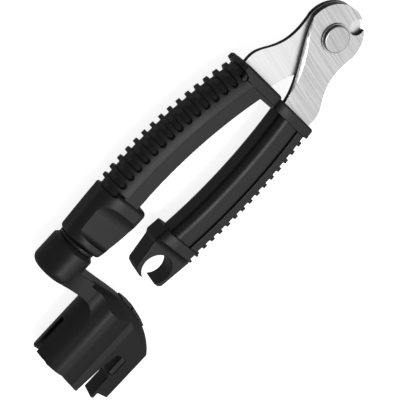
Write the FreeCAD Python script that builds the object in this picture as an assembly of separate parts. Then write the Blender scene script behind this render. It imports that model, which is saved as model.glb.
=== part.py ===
import FreeCAD, Part
import math
import os

os.makedirs("parts", exist_ok=True)
V = FreeCAD.Vector

# String winder with a string cutter and a bridge pin puller. All sizes are in millimetres.
# The model is drawn with X along the crank's axle, the joint between hub and handle at X = 0,
# Y towards the ribbed back of the main handle and Z up out of the table. It is moved at the end
# so that the origin lies on the table, under the middle of the whole object.

# ---- crank: hub, arm and peg cup in one moulding
HUB_RADIUS = 9.1
HUB_LEFT = -15.2
HUB_RIGHT = -0.6
HUB_TAPER = 1.6
ARM_HALF = 7.0          # half the arm's thickness
ARM_LEFT = -14.5
ARM_RIGHT = -7.2
CUP_Y = -28.7           # centre line of the round part of the cup
CUP_RADIUS = 10.0
CUP_BACK_Y = -28.1
CUP_BACK_RADIUS = 9.6   # the back of the cup is a little smaller than the strap over it
CUP_WALL = 2.2
CUP_MOUTH = -43.6       # the open end of the round part
FIN_MOUTH = -47.0       # the open end on the fin's side, a little longer
CUP_FLOOR = -16.0       # the closed end of the pocket
RIDGE_Y = -39.3
RIDGE_HALF = 6.15
FACET_Y = -42.5
FIN_Y = -59.5
FIN_HALF = 2.2
SLIT_WIDTH = 2.4
SLIT_END = -27.0
SLOT_END = -26.0

# ---- crank axle and what holds the crank on it
AXLE_RADIUS = 3.0
AXLE_FIT = 0.05
AXLE_LEFT = -12.6
AXLE_RIGHT = 16.0
HEX_LEFT = 2.5
HEX_ACROSS = 5.0
COUNTERBORE_RADIUS = 5.6
COUNTERBORE_FLOOR = -11.0
PLUG_INNER = -13.2
NECK_RADIUS = 7.9

# ---- main handle
MAIN_ARC = 207.0        # the radius that the main handle is bent to
MAIN_MID_X = 35.0
MAIN_BACK_Y = 10.15
TAIL_ARC = 600.0        # its smooth end is nearly straight
TAIL_MID_X = 51.0
TAIL_BACK_Y = 10.55
MAIN_HALF = 8.0
MAIN_WALL_HALF = 2.5    # the flat strip along the middle of the back
MAIN_SHOULDER = 10.3
MAIN_LEFT = 0.9
MAIN_RIGHT = 91.3
PANEL_STEP_Y = 1.2
PANEL_EDGE_Y = -5.25
PANEL_HALF = 7.1
LOOP_LEFT = 25.5
LOOP_RIGHT = 85.4
CAP_LEFT = 86.8
MAIN_CAP_END_Y = -19.3
RIB_COUNT = 16
RIB_PITCH = 4.26
RIB_FIRST_X = 23.9
RIB_SLOT = 2.4
RIB_DEPTH = 1.6
RIB_FACE_DEPTH = 1.1
RIB_END_Y = 5.0

# ---- lever handle
LEVER_ARC = 230.0
LEVER_MID_X = 54.0
LEVER_HALF = 7.5
LEVER_INNER_Y = -24.5
LEVER_WALL_HALF = 4.5
LEVER_SHOULDER = 8.4
LEVER_OUTER_Y = -42.5
LEVER_LEFT = 18.2
LEVER_RIGHT = 90.6
LEVER_CAP_Y = -19.9
COLLAR_RIGHT = 25.6
CORE_INNER_Y = -27.2
CORE_HALF = 6.1
CORE_WALL_HALF = 2.5
CORE_SHOULDER = 4.2
BAND_Y = -37.0
BAND_HALF = 6.9
TOOTH_DEPTH = 2.0
TOOTH_GAP = 2.3
TOOTH_FIRST_X = 23.3
TOOTH_PITCH = 4.14
CLIP_HALF = 4.5
PULLER_X = 10.8
PULLER_Y = -32.3
PULLER_RADIUS = 6.3
CLIP_END_X = 4.8

# ---- cutter: two flat plates riveted together, each held in the end of its handle
PIVOT_X = 121.0
PIVOT_Y = -21.3
PLATE = 2.0
PLATE_GAP = 0.1         # running gap between the two plates
BEVEL_DEPTH = 0.45      # the ground bevel along the front plate's inner edge
BEVEL_WIDTH = 1.4
HEAD_X = 120.8          # the centre of the plates' round heads
HEAD_Y = -20.3
HEAD_RADIUS = 13.0
NOTCH_U = 8.9
NOTCH_V = 4.9
NOTCH_RADIUS = 3.2
NOTCH_MOUTH = 4.6
FRONT = PLATE_GAP / 2 + PLATE   # the outer faces of the two plates
REAR = -FRONT
OPEN_ANGLE = 38.0       # how far the lever opens to bring the two notches together
RIVET_RADIUS = 2.5
RIVET_FIT = 0.05
RIVET_HEAD_RADIUS = 5.3
RIVET_HEAD = 1.25
WASHER_RADIUS = 5.9
WASHER = 0.5
REAR_HEAD_RADIUS = 4.4
REAR_HEAD = 1.6
TANG_LEFT = 68.0
PIN_RADIUS = 1.5
PIN_HALF = 4.0


# ---------------------------------------------------------------- small helpers
def box(x0, x1, y0, y1, z0, z1):
    return Part.makeBox(x1 - x0, y1 - y0, z1 - z0, V(x0, y0, z0))


def rod_x(radius, x0, x1):
    """A round bar on the crank's axis."""
    return Part.makeCylinder(radius, x1 - x0, V(x0, 0, 0), V(1, 0, 0))


def rod_z(radius, x, y, z0, z1):
    return Part.makeCylinder(radius, z1 - z0, V(x, y, z0), V(0, 0, 1))


def line(a, b):
    return Part.LineSegment(a, b).toShape()


def curve(points):
    spline = Part.BSplineCurve()
    spline.interpolate(points)
    return spline.toShape()


def arc(a, b, c):
    return Part.Arc(a, b, c).toShape()


def face(edges):
    return Part.Face(Part.Wire(Part.__sortEdges__(edges)))


def slab(edges, half):
    """The closed outline in the XY plane, made a plate of the given half thickness."""
    plate = face(edges).extrude(V(0, 0, 2 * half))
    plate.translate(V(0, 0, -half))
    return plate


def polygon_slab(points, half):
    corners = [V(x, y, 0) for x, y in points]
    return slab([line(a, b) for a, b in zip(corners, corners[1:] + corners[:1])], half)


def both_faces(tool):
    """The tool and its mirror image through the middle plane."""
    return tool.fuse(tool.mirror(V(0, 0, 0), V(0, 0, 1)))


def rounded(solid, radius, chosen):
    edges = [e for e in solid.Edges if chosen(e)]
    return solid.makeFillet(radius, edges)


def one(shape):
    """The largest solid of a boolean result, with its faces tidied."""
    solids = sorted(shape.removeSplitter().Solids, key=lambda s: s.Volume)
    return solids[-1]


# ---------------------------------------------------------------- handle sections
def shoulder_section(front, back, shoulder, half, wall_half):
    """A handle's cross-section at X = 0: flat faces from front, an elliptical shoulder to back."""
    sign = 1 if back > front else -1
    centre = back - sign * shoulder
    rise = half - wall_half
    edges = []
    for side in (1, -1):
        middle = V(0, centre, side * wall_half)
        major = V(0, back, side * wall_half)
        minor = V(0, centre, side * half)
        if shoulder >= rise:
            quarter = Part.Ellipse(major, minor, middle)
            quarter = Part.ArcOfEllipse(quarter, 0, math.pi / 2)
        else:
            quarter = Part.Ellipse(minor, major, middle)
            quarter = Part.ArcOfEllipse(quarter, 0, math.pi / 2)
        edges.append(quarter.toShape())
        edges.append(line(minor, V(0, front, side * half)))
    edges.append(line(V(0, back, wall_half), V(0, back, -wall_half)))
    edges.append(line(V(0, front, half), V(0, front, -half)))
    return face(edges)


def bent_bar(section, mid_x, centre_y, x0, x1):
    """A section swept round an arc through mid_x and cut square at x0 and x1."""
    section.translate(V(mid_x, 0, 0))
    centre = V(mid_x, centre_y, 0)
    radius = abs(centre_y - section.CenterOfMass.y)
    reach = math.degrees(math.asin((max(mid_x - x0, x1 - mid_x) + 8) / radius))
    section.rotate(centre, V(0, 0, 1), -reach)
    bar = section.revolve(centre, V(0, 0, 1), 2 * reach)
    return bar.common(box(x0, x1, -60, 30, -15, 15))


def main_bar(front, x0, x1, inset=0.0, face_inset=0.0):
    section = shoulder_section(front, MAIN_BACK_Y - inset, MAIN_SHOULDER - inset + face_inset,
                               MAIN_HALF - face_inset, MAIN_WALL_HALF)
    return bent_bar(section, MAIN_MID_X, MAIN_BACK_Y - MAIN_ARC, x0, x1)


def lever_bar(inner, outer, shoulder, half, wall_half, x0, x1):
    section = shoulder_section(outer, inner, shoulder, half, wall_half)
    return bent_bar(section, LEVER_MID_X, LEVER_ARC + CORE_INNER_Y, x0, x1)


# ---------------------------------------------------------------- main handle
def tail_outline():
    """The smooth end beside the hub, seen from the front, down to its rounded lower edge."""
    low = [V(MAIN_LEFT, -7.2, 0), V(9, -9.1, 0), V(17, -10.1, 0), V(LOOP_LEFT - 1.6, -10.2, 0)]
    corner = arc(V(LOOP_LEFT - 1.6, -10.2, 0), V(LOOP_LEFT - 0.5, -9.7, 0), V(LOOP_LEFT, -8.6, 0))
    top = V(LOOP_LEFT, 14, 0)
    return [curve(low), corner, line(V(LOOP_LEFT, -8.6, 0), top),
            line(top, V(MAIN_LEFT, 14, 0)), line(V(MAIN_LEFT, 14, 0), low[0])]


def thumb_scoop():
    """The shallow hollow for the thumb, the same on both faces."""
    floor = 6.2
    edges = [arc(V(4.2, -14, 8.6), V(4.9, -14, 7.0), V(6.7, -14, floor)),
             line(V(6.7, -14, floor), V(14.2, -14, floor)),
             arc(V(14.2, -14, floor), V(17.8, -14, 6.8), V(20.4, -14, 8.6)),
             line(V(20.4, -14, 8.6), V(4.2, -14, 8.6))]
    return both_faces(face(edges).extrude(V(0, 30, 0)))


def rib_slots():
    """Slots across the back of the main handle, rounded where they end on its faces."""
    tools = []
    for i in range(RIB_COUNT):
        x = RIB_FIRST_X + RIB_PITCH * i
        half = RIB_SLOT / 2
        tool = box(-half, half, RIB_END_Y + half, MAIN_BACK_Y + 6, -12, 12)
        tool = tool.fuse(rod_z(half, 0, RIB_END_Y + half, -12, 12))
        tool.translate(V(MAIN_MID_X, 0, 0))
        angle = math.degrees(math.asin((x - MAIN_MID_X) / MAIN_ARC))
        tool.rotate(V(MAIN_MID_X, MAIN_BACK_Y - MAIN_ARC, 0), V(0, 0, 1), -angle)
        tools.append(tool)
    floor = main_bar(-2.0, 15, 95, RIB_DEPTH, RIB_FACE_DEPTH)
    return tools[0].multiFuse(tools[1:]).cut(floor)


def main_cap():
    """The end block that holds the rear plate, down to the lever's end block."""
    block = box(CAP_LEFT, MAIN_RIGHT, MAIN_CAP_END_Y, 2.0, -MAIN_HALF, MAIN_HALF)
    block = rounded(block, 2.6, lambda e: e.BoundBox.YMax < MAIN_CAP_END_Y + 0.1
                    and e.BoundBox.XLength > 1)
    return block


def main_tail():
    """The smooth end of the main handle, next to the hub."""
    section = shoulder_section(-14.0, TAIL_BACK_Y, MAIN_SHOULDER, MAIN_HALF, MAIN_WALL_HALF)
    bar = bent_bar(section, TAIL_MID_X, TAIL_BACK_Y - TAIL_ARC, MAIN_LEFT, RIB_FIRST_X)
    bar = bar.fuse(main_bar(-14.0, RIB_FIRST_X, LOOP_LEFT))
    tail = one(bar.common(slab(tail_outline(), MAIN_HALF + 1)))
    tail = rounded(tail, 2.4, lambda e: e.BoundBox.YMax < -7.0 and e.BoundBox.ZLength < 0.1)
    tail = rounded(tail, 1.6, lambda e: e.BoundBox.XMax < MAIN_LEFT + 0.05)
    return tail.cut(thumb_scoop())


def main_handle_body():
    bar = main_bar(-4.0, LOOP_LEFT, MAIN_RIGHT)
    recess = Part.Face(Part.makePolygon([V(0, -30, -12), V(0, PANEL_STEP_Y, -12),
                                         V(0, PANEL_STEP_Y, 12), V(0, -30, 12), V(0, -30, -12)]))
    recess = bent_bar(recess, MAIN_MID_X, MAIN_BACK_Y - MAIN_ARC, LOOP_LEFT, CAP_LEFT)
    body = one(bar.cut(recess).fuse([main_tail(), main_cap()]))
    body = rounded(body, 1.2, lambda e: e.BoundBox.XMin > MAIN_RIGHT - 0.05)
    return body.cut(rib_slots())


def main_core_blank():
    """The inner piece that shows along the finger loop."""
    half_strip = shoulder_section(PANEL_EDGE_Y, PANEL_STEP_Y + 4.0, 4.5, PANEL_HALF, 2.0)
    strip = bent_bar(half_strip, MAIN_MID_X, MAIN_BACK_Y - MAIN_ARC, LOOP_LEFT - 3, LOOP_RIGHT + 3)
    groove = Part.Face(Part.makePolygon([V(0, PANEL_STEP_Y - 0.4, 6.5), V(0, PANEL_STEP_Y + 0.1, 6.5),
                                         V(0, PANEL_STEP_Y + 0.1, 9), V(0, PANEL_STEP_Y - 0.4, 9),
                                         V(0, PANEL_STEP_Y - 0.4, 6.5)]))
    groove = bent_bar(groove, MAIN_MID_X, MAIN_BACK_Y - MAIN_ARC, LOOP_LEFT, LOOP_RIGHT)
    strip = strip.cut(both_faces(groove))
    post = box(LOOP_RIGHT, LOOP_RIGHT + 3, MAIN_CAP_END_Y + 0.6, 0.0, -PANEL_HALF, PANEL_HALF)
    return strip.fuse(post)


# ---------------------------------------------------------------- lever handle
def clip_outline():
    """The bridge pin puller's jaw, from its open end to the collar."""
    return [(20.6, -22.4), (7.2, -24.4), (6.0, -25.2), (CLIP_END_X, -28.2), (CLIP_END_X + 0.8, -36.0),
            (CLIP_END_X + 0.8, -38.2), (CLIP_END_X + 1.9, -39.4), (20.6, -41.5)]


def puller_hole(half):
    """The round notch. Its side is open where the end of the jaw cuts across it."""
    return rod_z(PULLER_RADIUS, PULLER_X, PULLER_Y, -half, half)


def lever_clip():
    jaw = polygon_slab(clip_outline(), CLIP_HALF)
    return jaw.cut(puller_hole(CLIP_HALF + 1))


def lever_collar():
    collar = lever_bar(LEVER_INNER_Y, LEVER_OUTER_Y + 0.6, LEVER_SHOULDER, LEVER_HALF,
                       LEVER_WALL_HALF, LEVER_LEFT, COLLAR_RIGHT)
    side = LEVER_LEFT + 3.0
    edges = [arc(V(LEVER_LEFT, -60, CLIP_HALF), V(side - 0.9, -60, CLIP_HALF + 0.9),
                 V(side, -60, LEVER_HALF)),
             line(V(side, -60, LEVER_HALF), V(side, -60, LEVER_HALF + 1)),
             line(V(side, -60, LEVER_HALF + 1), V(LEVER_LEFT - 2, -60, LEVER_HALF + 1)),
             line(V(LEVER_LEFT - 2, -60, LEVER_HALF + 1), V(LEVER_LEFT - 2, -60, CLIP_HALF)),
             line(V(LEVER_LEFT - 2, -60, CLIP_HALF), V(LEVER_LEFT, -60, CLIP_HALF))]
    collar = collar.cut(both_faces(face(edges).extrude(V(0, 50, 0))))
    corner = polygon_slab([(LEVER_LEFT - 1, -23.2), (LEVER_LEFT + 1.4, -22.1), (LEVER_LEFT + 4.2, -21.4),
                           (LEVER_LEFT + 4.2, -15), (LEVER_LEFT - 1, -15)], 12)
    return collar.cut(corner)


def lever_cap():
    block = lever_bar(LEVER_CAP_Y - 2.6, LEVER_OUTER_Y + 0.6, LEVER_SHOULDER, LEVER_HALF,
                      LEVER_WALL_HALF, 86.2, LEVER_RIGHT)
    return rounded(block, 0.8, lambda e: e.BoundBox.XMin > LEVER_RIGHT - 0.05)


def lever_teeth():
    """Square gaps along the outer edge, which leave small teeth between them."""
    tools = []
    centre_y = LEVER_ARC + CORE_INNER_Y
    for i in range(RIB_COUNT):
        x = TOOTH_FIRST_X + TOOTH_PITCH * i
        tool = box(-TOOTH_GAP / 2, TOOTH_GAP / 2, LEVER_OUTER_Y - 3, LEVER_OUTER_Y + TOOTH_DEPTH, -12, 12)
        tool.translate(V(LEVER_MID_X, 0, 0))
        angle = math.degrees(math.asin((x - LEVER_MID_X) / (centre_y - LEVER_OUTER_Y)))
        tool.rotate(V(LEVER_MID_X, centre_y, 0), V(0, 0, 1), angle)
        tools.append(tool)
    return tools[0].multiFuse(tools[1:])


def lever_band():
    """The outer strip that carries the teeth, with its edges rounded over."""
    section = shoulder_section(BAND_Y, LEVER_OUTER_Y, 2.0, BAND_HALF, 5.2)
    return bent_bar(section, LEVER_MID_X, LEVER_ARC + CORE_INNER_Y, LEVER_LEFT + 3, 88.4)


def lever_handle_body():
    body = one(lever_band().fuse([lever_collar(), lever_cap(), lever_clip()]))
    return body.cut(lever_teeth())


def lever_core_blank():
    return lever_bar(CORE_INNER_Y, BAND_Y - 1.2, CORE_SHOULDER, CORE_HALF, CORE_WALL_HALF,
                     COLLAR_RIGHT - 3, 88.0)


# ---------------------------------------------------------------- crank
def strap_section():
    """The side view of arm, cup and fin together, as a closed outline in the YZ plane."""
    edges = []
    for s in (1, -1):
        top = V(0, CUP_Y, s * CUP_RADIUS)
        slope = V(0, CUP_Y - 4.2, s * 9.07)
        ridge = V(0, RIDGE_Y, s * RIDGE_HALF)
        facet = V(0, FACET_Y, s * RIDGE_HALF)
        tip = V(0, FIN_Y, s * FIN_HALF)
        start = V(0, CUP_Y + 11.5, s * ARM_HALF)
        neck = V(0, -11.5, s * ARM_HALF)
        shoulder = V(0, -3.5, s * 8.3)
        edges.append(line(V(0, 12, s * 8.3), shoulder))
        edges.append(curve([shoulder, V(0, -5.6, s * 7.65), V(0, -8.2, s * 7.15), neck]))
        edges.append(line(neck, start))
        edges.append(curve([start, V(0, CUP_Y + 6.6, s * 7.6), V(0, CUP_Y + 3.4, s * 9.35), top]))
        edges.append(arc(top, V(0, CUP_Y - 2.13, s * 9.77), slope))
        edges.append(line(slope, ridge))
        edges.append(line(ridge, facet))
        edges.append(line(facet, tip))
    edges.append(line(V(0, 12, 8.3), V(0, 12, -8.3)))
    edges.append(line(V(0, FIN_Y, FIN_HALF), V(0, FIN_Y, -FIN_HALF)))
    return face(edges)


def strap_outline():
    """The front view of arm and cup: the back edge curves round from the hub to the fin."""
    back = [V(ARM_RIGHT, -22, 0), V(-7.7, -35, 0), V(-9.8, -44, 0), V(-13.6, -52, 0),
            V(-19.8, FIN_Y, 0)]
    mouth = [V(FIN_MOUTH, -41.5, 0), V(-45.6, -36.5, 0), V(CUP_MOUTH, -30, 0)]
    neck = [V(ARM_LEFT, -11, 0), V(-14.8, -16, 0), V(-16.4, -20, 0), V(-21.5, -22.2, 0)]
    corner = V(FIN_MOUTH, FIN_Y, 0)
    return [line(V(ARM_RIGHT, 2, 0), back[0]), curve(back), line(back[-1], corner),
            line(corner, mouth[0]), curve(mouth), line(mouth[-1], V(CUP_MOUTH, -22.2, 0)),
            line(V(CUP_MOUTH, -22.2, 0), neck[-1]), curve(neck),
            line(neck[0], V(ARM_LEFT, 2, 0)), line(V(ARM_LEFT, 2, 0), V(ARM_RIGHT, 2, 0))]


def back_pad():
    """A low pad with a groove across it on the outside of the arm's bend."""
    inner = [V(-9.5, -31.5, 0), V(-9.5, -40, 0), V(-12.0, -47.4, 0)]
    outer = [V(-6.7, -31.5, 0), V(-7.7, -40, 0), V(-10.6, -47.4, 0)]
    pad = slab([curve(inner), curve(outer), line(inner[0], outer[0]), line(inner[-1], outer[-1])], 2.8)
    return pad.cut(box(-9.0, -6, -38.2, -37.2, -4, 4))


def back_rounding():
    """What is taken off the strap's back edge: a soft bevel that grows wider towards the fin."""
    edge = [(ARM_RIGHT, -14, -1, 0), (ARM_RIGHT, -22, -1, 0), (-7.7, -35, -0.99, 0.12),
            (-9.8, -44, -0.94, 0.33), (-13.6, -52, -0.84, 0.54), (-19.8, FIN_Y, -0.77, 0.64)]
    levels = [(1.0, (-0.6, -0.6, -0.6, -0.6, -0.6, -0.6)), (3.0, (-0.3, -0.2, 0.1, 0.5, 1.0, 1.3)),
              (5.0, (0.4, 0.7, 1.3, 2.3, 3.1, 3.5)), (7.0, (1.6, 2.2, 3.2, 4.7, 5.9, 6.5)),
              (10.6, (3.6, 4.6, 6.2, 8.6, 10.4, 11.4))]
    wires = []
    for z, insets in levels:
        inner = [V(x + nx * d, y + ny * d, z) for (x, y, nx, ny), d in zip(edge, insets)]
        corners = [inner[0], V(0, -14, z), V(0, FIN_Y - 8, z), inner[-1] + V(0, -8, 0), inner[-1]]
        wires.append(Part.Wire([curve(inner[::-1])] + [line(p, q) for p, q in zip(corners, corners[1:])]))
    return both_faces(Part.makeLoft(wires, True, False))


def hub():
    body = rod_x(HUB_RADIUS, HUB_LEFT, HUB_RIGHT)
    body = rounded(body, 3.0, lambda e: e.BoundBox.XMax < HUB_LEFT + 0.1)
    right = [e for e in body.Edges if e.BoundBox.XMin > HUB_RIGHT - 0.1]
    return body.makeChamfer(HUB_TAPER, right)


def cup_back():
    """The round back of the cup, a step lower than the strap."""
    mouth = CUP_MOUTH + 0.4
    barrel = Part.makeCylinder(CUP_BACK_RADIUS, CUP_FLOOR + 4 - mouth, V(mouth, CUP_BACK_Y, 0), V(1, 0, 0))
    return barrel.common(box(mouth, ARM_RIGHT, CUP_Y - 2, 0, -12, 12))


def pocket():
    """The space that takes the machine head's button."""
    radius = CUP_RADIUS - CUP_WALL
    start = FIN_MOUTH - 1
    depth = CUP_FLOOR - start
    barrel = Part.makeCylinder(radius, depth, V(start, CUP_Y, 0), V(1, 0, 0))
    lower = []
    for s in (1, -1):
        lower.append(line(V(start, CUP_Y, s * radius), V(start, CUP_Y - 3.5, s * 7.0)))
        lower.append(line(V(start, CUP_Y - 3.5, s * 7.0), V(start, -40.6, s * 4.0)))
    lower.append(line(V(start, CUP_Y, radius), V(start, CUP_Y, -radius)))
    lower.append(line(V(start, -40.6, 4.0), V(start, -40.6, -4.0)))
    return barrel.fuse(face(lower).extrude(V(depth, 0, 0)))


def fin_slot():
    """The slot between cup and outer prong, with a small pocket near its closed end."""
    start = FIN_MOUTH - 2
    slot = polygon_slab([(start, FACET_Y - 0.2), (-35.0, FACET_Y - 1.7), (SLOT_END, FACET_Y - 3.7),
                         (SLOT_END, -50.4), (-35.0, -50.4), (-36.2, -51.6), (start, -51.6)], 12)
    pocket_cut = both_faces(box(-34.5, SLOT_END, -52.7, -50.0, 3.2, 12))
    short_tip = box(start, FIN_MOUTH + 0.2, -62, -47, -12, 12)
    lip = box(start, FIN_MOUTH + 2.9, -62, -53.4, -12, 12)
    return slot.fuse([pocket_cut, short_tip, lip])


def pocket_slit():
    """The thin slit in the back of the cup, a little wider at the mouth."""
    half = SLIT_WIDTH / 2
    slit = box(FIN_MOUTH - 1, SLIT_END, CUP_Y + 2, -10, -half, half)
    return slit.fuse(box(FIN_MOUTH - 1, CUP_MOUTH + 3.4, CUP_Y + 2, -10, -half, half + 0.7))


def crank():
    strap = strap_section()
    strap.translate(V(FIN_MOUTH - 2, 0, 0))
    strap = strap.extrude(V(60, 0, 0)).common(slab(strap_outline(), 12))
    strap = strap.cut(back_rounding())
    body = one(strap.fuse([hub(), cup_back(), back_pad()]))
    body = body.cut(pocket())
    body = body.cut(pocket_slit())
    body = body.cut(fin_slot())
    body = body.cut(rod_x(AXLE_RADIUS + AXLE_FIT, HUB_LEFT - 1, HUB_RIGHT + 1))
    body = body.cut(rod_x(COUNTERBORE_RADIUS, HUB_LEFT - 1, COUNTERBORE_FLOOR))
    return one(body)


# ---------------------------------------------------------------- axle
def crank_axle():
    shaft = rod_x(AXLE_RADIUS, AXLE_LEFT, HEX_LEFT)
    points = []
    for i in range(7):
        a = math.radians(60 * i + 30)
        radius = HEX_ACROSS / 2 / math.cos(math.radians(30))
        points.append(V(HEX_LEFT, radius * math.cos(a), radius * math.sin(a)))
    hexagon = Part.Face(Part.makePolygon(points)).extrude(V(AXLE_RIGHT - HEX_LEFT, 0, 0))
    return one(shaft.fuse(hexagon))


def ring_x(outer, inner, x0, x1):
    return rod_x(outer, x0, x1).cut(rod_x(inner, x0 - 1, x1 + 1))


def hub_plug():
    plug = rod_x(COUNTERBORE_RADIUS, HUB_LEFT, PLUG_INNER)
    return plug


def axle_retaining_ring():
    ring = ring_x(4.6, AXLE_RADIUS, -12.1, -11.6)
    return ring


def axle_washer():
    return ring_x(4.9, AXLE_RADIUS + 0.05, -11.5, -11.1)


def neck_washer():
    return ring_x(NECK_RADIUS, AXLE_RADIUS + 0.05, HUB_RIGHT + 0.1, MAIN_LEFT)


# ---------------------------------------------------------------- cutter
def plate_outline(flip, tang_low, tang_high):
    """One cutter plate. U runs from its round head's centre to the tip, V to its own handle."""
    def at(u, v):
        return V(HEAD_X + u, HEAD_Y + flip * v, 0)
    root = CAP_LEFT - HEAD_X + 1
    tang = TANG_LEFT - HEAD_X
    outer = [at(-27.5, 19.9), at(-23.5, 19.0), at(-18.8, 15.9), at(-12.6, 12.9), at(-6.0, 12.2),
             at(0.0, HEAD_RADIUS)]
    tip = arc(at(0, HEAD_RADIUS), at(HEAD_RADIUS, 0), at(0, -HEAD_RADIUS + 0.6))
    inner = [at(0, -HEAD_RADIUS + 0.6), at(-8.0, -8.2), at(-20.8, 0.4), at(-27.5, 3.6)]
    rest = [at(-27.5, 3.6), at(root, 5.0), at(root, tang_low), at(tang, tang_low),
            at(tang, tang_high), at(root, tang_high), at(root, 19.6), at(-27.5, 19.9)]
    return [curve(outer), tip, curve(inner)] + [line(a, b) for a, b in zip(rest, rest[1:])]


def notch_tool(flip, turn):
    centre = V(HEAD_X + NOTCH_U, HEAD_Y + flip * NOTCH_V, 0)
    hole = rod_z(NOTCH_RADIUS, centre.x, centre.y, -12, 12)
    mouth = box(0, 12, -NOTCH_MOUTH / 2, NOTCH_MOUTH / 2, -12, 12)
    mouth.rotate(V(0, 0, 0), V(0, 0, 1), math.degrees(math.atan2(flip * NOTCH_V, NOTCH_U)))
    mouth.translate(centre)
    tool = hole.fuse(mouth)
    tool.rotate(V(PIVOT_X, PIVOT_Y, 0), V(0, 0, 1), turn)
    return tool


def cutter_plate(flip, tang_low, tang_high, z0):
    plate = face(plate_outline(flip, tang_low, tang_high)).extrude(V(0, 0, PLATE))
    plate.translate(V(0, 0, z0))
    return plate


def tang_pins(y, z_mid):
    return [rod_z(PIN_RADIUS, x, y, z_mid - PIN_HALF, z_mid + PIN_HALF) for x in (72.5, 81.5)]


def ground_bevel():
    """What the grinder takes off along the front plate's inner edge, running out at both ends."""
    def wire(width, run_out, z):
        inner = [(0.5, -12.4, -run_out), (-8.0, -8.2, width), (-20.8, 0.4, width), (-27.6, 3.6, -run_out)]
        on_plate = [V(HEAD_X + u + 0.53 * w, HEAD_Y - v - 0.85 * w, z) for u, v, w in inner]
        corners = [V(HEAD_X + 3, HEAD_Y + 20, z), V(HEAD_X - 29, HEAD_Y + 20, z)]
        corners = [on_plate[0]] + corners + [on_plate[-1]]
        return Part.Wire([curve(on_plate[::-1])] + [line(p, q) for p, q in zip(corners, corners[1:])])
    low = wire(-BEVEL_WIDTH / 4, 0.6, FRONT - 1.25 * BEVEL_DEPTH)
    high = wire(BEVEL_WIDTH, 0.3, FRONT)
    return Part.makeLoft([low, high], True, True)


def lever_blade():
    plate = cutter_plate(-1, 9.0, 15.6, PLATE_GAP / 2)
    plate = plate.cut(notch_tool(-1, 0))
    plate = plate.cut(rod_z(RIVET_RADIUS + RIVET_FIT, PIVOT_X, PIVOT_Y, -9, 9))
    return one(plate.cut(ground_bevel()))


def main_blade():
    plate = cutter_plate(1, 14.4, 21.0, REAR)
    plate = plate.cut(notch_tool(-1, OPEN_ANGLE))
    return plate.cut(rod_z(RIVET_RADIUS, PIVOT_X, PIVOT_Y, -9, 9))


def pivot_rivet():
    top = FRONT + 0.1 + WASHER
    low = REAR - WASHER
    shank = rod_z(RIVET_RADIUS, PIVOT_X, PIVOT_Y, low - REAR_HEAD, top + RIVET_HEAD)
    head = rod_z(RIVET_HEAD_RADIUS, PIVOT_X, PIVOT_Y, top, top + RIVET_HEAD)
    head = rounded(head, 0.5, lambda e: e.BoundBox.ZMin > top + 1)
    tail = rod_z(REAR_HEAD_RADIUS, PIVOT_X, PIVOT_Y, low - REAR_HEAD, low)
    tail = rounded(tail, 0.9, lambda e: e.BoundBox.ZMax < low - REAR_HEAD + 0.1)
    return one(shank.fuse([head, tail]))


def ring_z(outer, inner, z0, z1):
    return rod_z(outer, PIVOT_X, PIVOT_Y, z0, z1).cut(rod_z(inner, PIVOT_X, PIVOT_Y, z0 - 1, z1 + 1))


def build():
    parts = {}
    axle = crank_axle()
    l_blade = lever_blade()
    m_blade = main_blade()
    m_pins = tang_pins(HEAD_Y + 17.7, REAR + PLATE / 2)
    l_pins = tang_pins(HEAD_Y - 12.3, FRONT - PLATE / 2)
    m_blade = m_blade.cut(m_pins)
    l_blade = l_blade.cut(l_pins)
    m_core = one(main_core_blank().cut([m_blade] + m_pins))
    m_body = main_handle_body()
    m_body = one(m_body.cut([m_core, m_blade, axle] + m_pins))
    l_core = one(lever_core_blank().cut([l_blade] + l_pins))
    l_body = one(lever_handle_body().cut([l_core, l_blade] + l_pins))
    parts["crank"] = crank()
    parts["hub_plug"] = hub_plug()
    parts["axle_retaining_ring"] = axle_retaining_ring()
    parts["axle_washer"] = axle_washer()
    parts["neck_washer"] = neck_washer()
    parts["crank_axle"] = axle
    parts["main_handle_body"] = m_body
    parts["main_handle_core"] = m_core
    parts["main_blade"] = m_blade
    parts["main_tang_pin_a"] = m_pins[0]
    parts["main_tang_pin_b"] = m_pins[1]
    parts["lever_handle_body"] = l_body
    parts["lever_handle_core"] = l_core
    parts["lever_blade"] = l_blade
    parts["lever_tang_pin_a"] = l_pins[0]
    parts["lever_tang_pin_b"] = l_pins[1]
    parts["pivot_rivet"] = pivot_rivet()
    parts["pivot_washer_front"] = ring_z(WASHER_RADIUS, RIVET_RADIUS, FRONT + 0.1, FRONT + 0.1 + WASHER)
    parts["pivot_washer_rear"] = ring_z(WASHER_RADIUS, RIVET_RADIUS, REAR - WASHER, REAR)
    return parts


pieces = build()
whole = Part.makeCompound(list(pieces.values())).optimalBoundingBox(False)
shift = V(-whole.Center.x, -whole.Center.y, -whole.ZMin)
for name, shape in pieces.items():
    shape.translate(shift)
    shape.exportStep("parts/" + name + ".step")
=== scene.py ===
import math

import bpy
from mathutils import Matrix, Vector


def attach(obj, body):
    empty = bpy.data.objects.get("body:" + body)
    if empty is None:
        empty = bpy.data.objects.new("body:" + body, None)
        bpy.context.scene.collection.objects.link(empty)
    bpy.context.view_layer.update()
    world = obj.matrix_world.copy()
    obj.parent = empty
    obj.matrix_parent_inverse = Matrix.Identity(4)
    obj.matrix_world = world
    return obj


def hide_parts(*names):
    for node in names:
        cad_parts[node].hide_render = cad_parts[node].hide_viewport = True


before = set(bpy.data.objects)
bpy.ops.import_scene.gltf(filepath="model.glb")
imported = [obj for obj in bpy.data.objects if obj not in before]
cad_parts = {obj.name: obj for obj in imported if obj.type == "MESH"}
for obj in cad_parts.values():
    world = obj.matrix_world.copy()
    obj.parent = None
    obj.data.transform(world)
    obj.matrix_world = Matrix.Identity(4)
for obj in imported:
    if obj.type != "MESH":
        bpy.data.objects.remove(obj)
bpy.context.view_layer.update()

MM = 0.001
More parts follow.
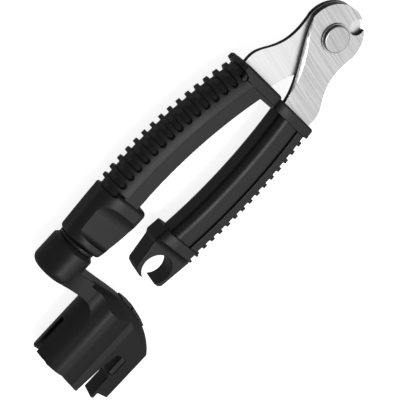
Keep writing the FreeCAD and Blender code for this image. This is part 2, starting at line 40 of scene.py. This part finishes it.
VOXEL = 0.16    # millimetres between the points of a moulding's new surface

# The grinding lines run across both cutter plates, at this angle to the row's Y axis
GRIND_ANGLE = math.radians(8.5)


# ---------------------------------------------------------------- camera
AIM = Vector((-0.00168, -0.00326, 0.01003))
DISTANCE = 0.42225
AZIMUTH = math.radians(7.38)      # from +Y towards +X
ELEVATION = math.radians(54.27)
ROLL = math.radians(139.0)
LENS = 99.0


def add_camera():
    data = bpy.data.cameras.new("camera")
    data.lens = LENS
    data.sensor_width = 36.0
    data.clip_start = 0.01
    camera = bpy.data.objects.new("camera", data)
    bpy.context.scene.collection.objects.link(camera)
    back = Vector((math.sin(AZIMUTH) * math.cos(ELEVATION),
                   math.cos(AZIMUTH) * math.cos(ELEVATION),
                   math.sin(ELEVATION)))
    level_right = Vector((0, 0, 1)).cross(back).normalized()
    level_up = back.cross(level_right)
    right = level_right * math.cos(ROLL) + level_up * math.sin(ROLL)
    up = back.cross(right)
    turn = Matrix((right, up, back)).transposed().to_4x4()
    camera.matrix_world = Matrix.Translation(AIM + back * DISTANCE) @ turn
    bpy.context.scene.camera = camera


# ---------------------------------------------------------------- light and floor
FILL_LIGHT = 0.22
FLOOR_SIZE = 6.0
FLOOR_GAP = 0.0002      # the floor lies this far under the object
FLOOR_COLOUR = (0.9, 0.9, 0.9, 1)
FLOOR_GLOW = 0.85


def add_soft_box(name, direction, distance, width, height, radiance):
    """A rectangular lamp that faces the object. Its power follows from its size and radiance."""
    data = bpy.data.lights.new(name, "AREA")
    data.shape = "RECTANGLE"
    data.size = width
    data.size_y = height
    data.energy = radiance * math.pi * width * height
    lamp = bpy.data.objects.new(name, data)
    bpy.context.scene.collection.objects.link(lamp)
    away = Vector(direction).normalized()
    lamp.location = AIM + away * distance
    lamp.rotation_euler = away.to_track_quat("Z", "Y").to_euler()


def add_lights():
    add_soft_box("key_box", (-0.07, -0.17, 0.98), 0.9, 0.32, 0.26, 6.0)
    add_soft_box("front_panel", (-0.05, -0.62, 0.78), 1.1, 1.5, 0.8, 0.56)
    add_soft_box("bevel_panel", (-0.60, 0.20, 0.80), 1.0, 0.42, 0.42, 0.25)
    world = bpy.data.worlds.new("studio")
    world.use_nodes = True
    background = world.node_tree.nodes["Background"]
    background.inputs["Color"].default_value = (1, 1, 1, 1)
    background.inputs["Strength"].default_value = FILL_LIGHT
    bpy.context.scene.world = world


def add_floor():
    mesh = bpy.data.meshes.new("floor")
    half = FLOOR_SIZE / 2
    mesh.from_pydata([(-half, -half, 0), (half, -half, 0), (half, half, 0), (-half, half, 0)], [],
                     [(0, 1, 2, 3)])
    floor = bpy.data.objects.new("floor", mesh)
    floor.location.z = -FLOOR_GAP
    bpy.context.scene.collection.objects.link(floor)
    material = bpy.data.materials.new("pale_floor")
    material.use_nodes = True
    shader = material.node_tree.nodes["Principled BSDF"]
    shader.inputs["Base Color"].default_value = FLOOR_COLOUR
    shader.inputs["Roughness"].default_value = 1.0
    shader.inputs["Specular IOR Level"].default_value = 0.0
    shader.inputs["Emission Color"].default_value = (1, 1, 1, 1)
    shader.inputs["Emission Strength"].default_value = FLOOR_GLOW
    mesh.materials.append(material)
    # Only a backdrop: the object neither mirrors the floor nor is lit by it
    floor.visible_glossy = False
    floor.visible_diffuse = False


# ---------------------------------------------------------------- materials
class Nodes:
    """A new material with a Principled shader, and short ways to add nodes to it."""

    def __init__(self, name):
        self.material = bpy.data.materials.new(name)
        self.material.use_nodes = True
        self.tree = self.material.node_tree
        self.shader = self.tree.nodes["Principled BSDF"]
        self.coords = self.add("ShaderNodeTexCoord").outputs["Object"]

    def add(self, kind, **values):
        node = self.tree.nodes.new(kind)
        for key, value in values.items():
            setattr(node, key, value)
        return node

    def link(self, output, node, socket):
        self.tree.links.new(output, node.inputs[socket])

    def stretched(self, scale, angle=0.0):
        """The row's coordinates in metres, turned about Z and scaled."""
        turned = self.add("ShaderNodeVectorRotate", rotation_type="Z_AXIS")
        turned.inputs["Angle"].default_value = angle
        self.link(self.coords, turned, "Vector")
        scaled = self.add("ShaderNodeVectorMath", operation="MULTIPLY")
        scaled.inputs[1].default_value = scale
        self.link(turned.outputs["Vector"], scaled, 0)
        return scaled.outputs["Vector"]

    def noise(self, vector, detail=2.0, roughness=0.5):
        node = self.add("ShaderNodeTexNoise")
        node.inputs["Scale"].default_value = 1.0
        node.inputs["Detail"].default_value = detail
        node.inputs["Roughness"].default_value = roughness
        self.link(vector, node, "Vector")
        return node.outputs["Fac"]

    def span(self, value, low, high, out_low, out_high):
        """value, mapped from low..high to out_low..out_high and held at the ends."""
        node = self.add("ShaderNodeMapRange")
        node.inputs["From Min"].default_value = low
        node.inputs["From Max"].default_value = high
        node.inputs["To Min"].default_value = out_low
        node.inputs["To Max"].default_value = out_high
        self.link(value, node, "Value")
        return node.outputs["Result"]

    def maths(self, operation, a, b):
        node = self.add("ShaderNodeMath", operation=operation)
        for i, value in enumerate((a, b)):
            if isinstance(value, (int, float)):
                node.inputs[i].default_value = value
            else:
                self.link(value, node, i)
        return node.outputs["Value"]

    def part_of(self, vector, axis):
        node = self.add("ShaderNodeSeparateXYZ")
        self.link(vector, node, "Vector")
        return node.outputs[axis]

    def mixed(self, value, dark, light):
        """A mix of two colours. Each is three numbers or another node's output."""
        node = self.add("ShaderNodeMix", data_type="RGBA")
        for socket, colour in ((6, dark), (7, light)):
            if isinstance(colour, tuple):
                node.inputs[socket].default_value = (*colour, 1)
            else:
                self.link(colour, node, socket)
        self.link(value, node, 0)
        return node.outputs[2]

    def colour(self, value, dark, light):
        self.link(self.mixed(value, dark, light), self.shader, "Base Color")

    def bump(self, height, distance, strength=1.0, below=None):
        node = self.add("ShaderNodeBump")
        node.inputs["Distance"].default_value = distance
        node.inputs["Strength"].default_value = strength
        self.link(height, node, "Height")
        if below is not None:
            self.link(below, node, "Normal")
        return node.outputs["Normal"]


def moulded_plastic(name, base_roughness, grain, dark, light):
    """Near-black moulded plastic with an eroded mould's fine grain, a little glossier on edges, where the
    colour is also lighter as a painted highlight.
    """
    n = Nodes(name)
    patches = n.noise(n.stretched((70, 70, 70)), detail=3.0)
    fine = n.noise(n.stretched((5200, 5200, 5200)), detail=2.0, roughness=0.6)
    flow = n.noise(n.stretched((260, 900, 900)), detail=4.0, roughness=0.65)
    # Convex edges: the lighter colour there is a painted highlight, and the lower roughness there is real
    # polish
    edge = n.span(n.add("ShaderNodeNewGeometry").outputs["Pointiness"], 0.51, 0.56, 0.0, 1.0)
    shade = n.maths("ADD", n.span(patches, 0.3, 0.7, 0.0, 0.55), n.maths("MULTIPLY", edge, 0.45))
    n.colour(shade, dark, light)
    rough = n.maths("ADD", n.span(patches, 0.3, 0.7, base_roughness - 0.03, base_roughness + 0.03),
                    n.span(fine, 0.3, 0.7, -0.03, 0.03))
    n.link(n.maths("SUBTRACT", rough, n.maths("MULTIPLY", edge, 0.06)), n.shader, "Roughness")
    n.shader.inputs["Specular IOR Level"].default_value = 0.5
    normal = n.bump(fine, grain * MM, 0.5)
    normal = n.bump(flow, 0.004 * MM, 0.6, normal)
    n.link(normal, n.shader, "Normal")
    return n.material


def ground_steel(name, angle, dark, light, roughness, edge):
    """Stainless steel ground in one direction, with long fine lines of uneven depth.

    The faces that stand upright have no grinding lines and take the edge colour, which is painted shade where
    it is dark.
    """
    n = Nodes(name)
    hair = n.noise(n.stretched((6400, 30, 400), angle), detail=3.0, roughness=0.7)
    bands = n.noise(n.stretched((1300, 22, 150), angle), detail=2.0)
    clouds = n.noise(n.stretched((45, 45, 45)), detail=2.0)
    lines = n.maths("ADD", n.maths("MULTIPLY", hair, 0.6), n.maths("MULTIPLY", bands, 0.4))
    ground = n.mixed(n.span(lines, 0.38, 0.58, 0.0, 1.0), dark, light)
    normal = n.add("ShaderNodeNewGeometry").outputs["True Normal"]
    upright = n.maths("ABSOLUTE", n.part_of(normal, "Z"), 0)
    # Upright faces take the edge colour; the near-black edge colours given below paint shade onto them
    n.colour(n.span(upright, 0.35, 0.75, 0.0, 1.0), edge, ground)
    rough = n.maths("ADD", n.span(hair, 0.3, 0.7, roughness - 0.06, roughness + 0.06),
                    n.span(clouds, 0.3, 0.7, -0.03, 0.03))
    n.link(rough, n.shader, "Roughness")
    n.shader.inputs["Metallic"].default_value = 1.0
    n.link(n.bump(lines, 0.006 * MM, 0.8), n.shader, "Normal")
    return n.material


# ---------------------------------------------------------------- pieces
def dress(obj, material):
    """Gives the whole object one material."""
    obj.data.materials.clear()
    obj.data.materials.append(material)


def moulded(node, piece, body, slot, material, passes, keep, gap):
    """A copy of the node with every edge and inner corner rounded, as a moulding's are.

    passes sets how far the edges are rounded, keep is the share of the faces that is kept, and
    gap is how many millimetres the piece stands back from its neighbour all round.
    """
    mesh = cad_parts[node].data.copy()
    mesh.transform(Matrix.Scale(1 / MM, 4))
    obj = bpy.data.objects.new(piece, mesh)
    bpy.context.scene.collection.objects.link(obj)
    remesh = obj.modifiers.new("remesh", "REMESH")
    remesh.mode = "VOXEL"
    remesh.voxel_size = VOXEL
    smooth = obj.modifiers.new("smooth", "SMOOTH")
    smooth.factor = 0.5
    smooth.iterations = passes
    if gap:
        shrink = obj.modifiers.new("shrink", "DISPLACE")
        shrink.strength = -gap
        shrink.mid_level = 0.0
    thin = obj.modifiers.new("thin", "DECIMATE")
    thin.ratio = keep
    bpy.context.view_layer.update()
    shape = obj.evaluated_get(bpy.context.evaluated_depsgraph_get())
    rounded = bpy.data.meshes.new_from_object(shape)
    obj.modifiers.clear()
    rounded.transform(Matrix.Scale(MM, 4))
    obj.data = rounded
    obj.data.shade_smooth()
    dress(obj, material)
    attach(obj, body)
    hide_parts(node)
    return obj


def eased(node, material, width):
    """The CAD node itself, with its sharp edges broken by a fine bevel of width millimetres."""
    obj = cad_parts[node]
    weld = obj.modifiers.new("weld", "WELD")
    weld.merge_threshold = 0.002 * MM
    flat = obj.modifiers.new("flat", "DECIMATE")
    flat.decimate_type = "DISSOLVE"
    flat.angle_limit = math.radians(0.5)
    bevel = obj.modifiers.new("bevel", "BEVEL")
    bevel.width = width * MM
    bevel.segments = 2
    bevel.limit_method = "ANGLE"
    bevel.angle_limit = math.radians(35)
    bevel.harden_normals = True
    dress(obj, material)


add_camera()
add_lights()
add_floor()

outer_plastic = moulded_plastic("outer_black_plastic", 0.40, 0.030,
                                (0.0075, 0.0077, 0.0082), (0.0125, 0.0128, 0.0134))
inner_plastic = moulded_plastic("inner_black_plastic", 0.36, 0.018,
                                (0.0085, 0.0087, 0.0092), (0.0130, 0.0133, 0.0139))
# The last colour of each steel goes on its upright faces: near-black painted shade on the plates and rivet,
# plain steel on the hidden parts
front_steel = ground_steel("ground_front_plate", GRIND_ANGLE,
                           (0.56, 0.56, 0.56), (0.86, 0.86, 0.86), 0.28, (0.03, 0.03, 0.03))
rear_steel = ground_steel("ground_rear_plate", GRIND_ANGLE,
                          (0.84, 0.84, 0.84), (0.97, 0.97, 0.97), 0.34, (0.03, 0.03, 0.03))
rivet_steel = ground_steel("ground_rivet_steel", GRIND_ANGLE,
                           (0.56, 0.56, 0.56), (0.76, 0.76, 0.76), 0.26, (0.06, 0.06, 0.06))
hidden_steel = ground_steel("plain_steel", 0.0,
                            (0.42, 0.42, 0.42), (0.55, 0.55, 0.56), 0.36, (0.40, 0.40, 0.41))

# node, piece, body, slot, material, rounding passes, share of the faces kept, gap in millimetres
MOULDINGS = (
    ("crank", "crank_moulding", "crank", "black_plastic", outer_plastic, 5, 0.25, 0.0),
    ("main_handle_body", "main_handle_moulding", "main", "black_plastic", outer_plastic, 2, 0.29, 0.0),
    ("main_handle_core", "main_handle_insert", "main", "black_plastic_inner", inner_plastic, 4, 0.3, 0.10),
    ("lever_handle_body", "lever_handle_moulding", "lever", "black_plastic", outer_plastic, 2, 0.35, 0.0),
    ("lever_handle_core", "lever_handle_insert", "lever", "black_plastic_inner", inner_plastic, 4, 0.3, 0.12),
)
for moulding in MOULDINGS:
    moulded(*moulding)

eased("main_blade", rear_steel, 0.12)
eased("lever_blade", front_steel, 0.12)
for node in ("pivot_rivet", "pivot_washer_front", "pivot_washer_rear"):
    eased(node, rivet_steel, 0.1)
for node in ("crank_axle", "axle_retaining_ring", "axle_washer", "main_tang_pin_a", "main_tang_pin_b",
             "lever_tang_pin_a", "lever_tang_pin_b"):
    dress(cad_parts[node], hidden_steel)
for node in ("neck_washer", "hub_plug"):
    eased(node, outer_plastic, 0.25)

bpy.context.scene.view_settings.view_transform = "Standard"
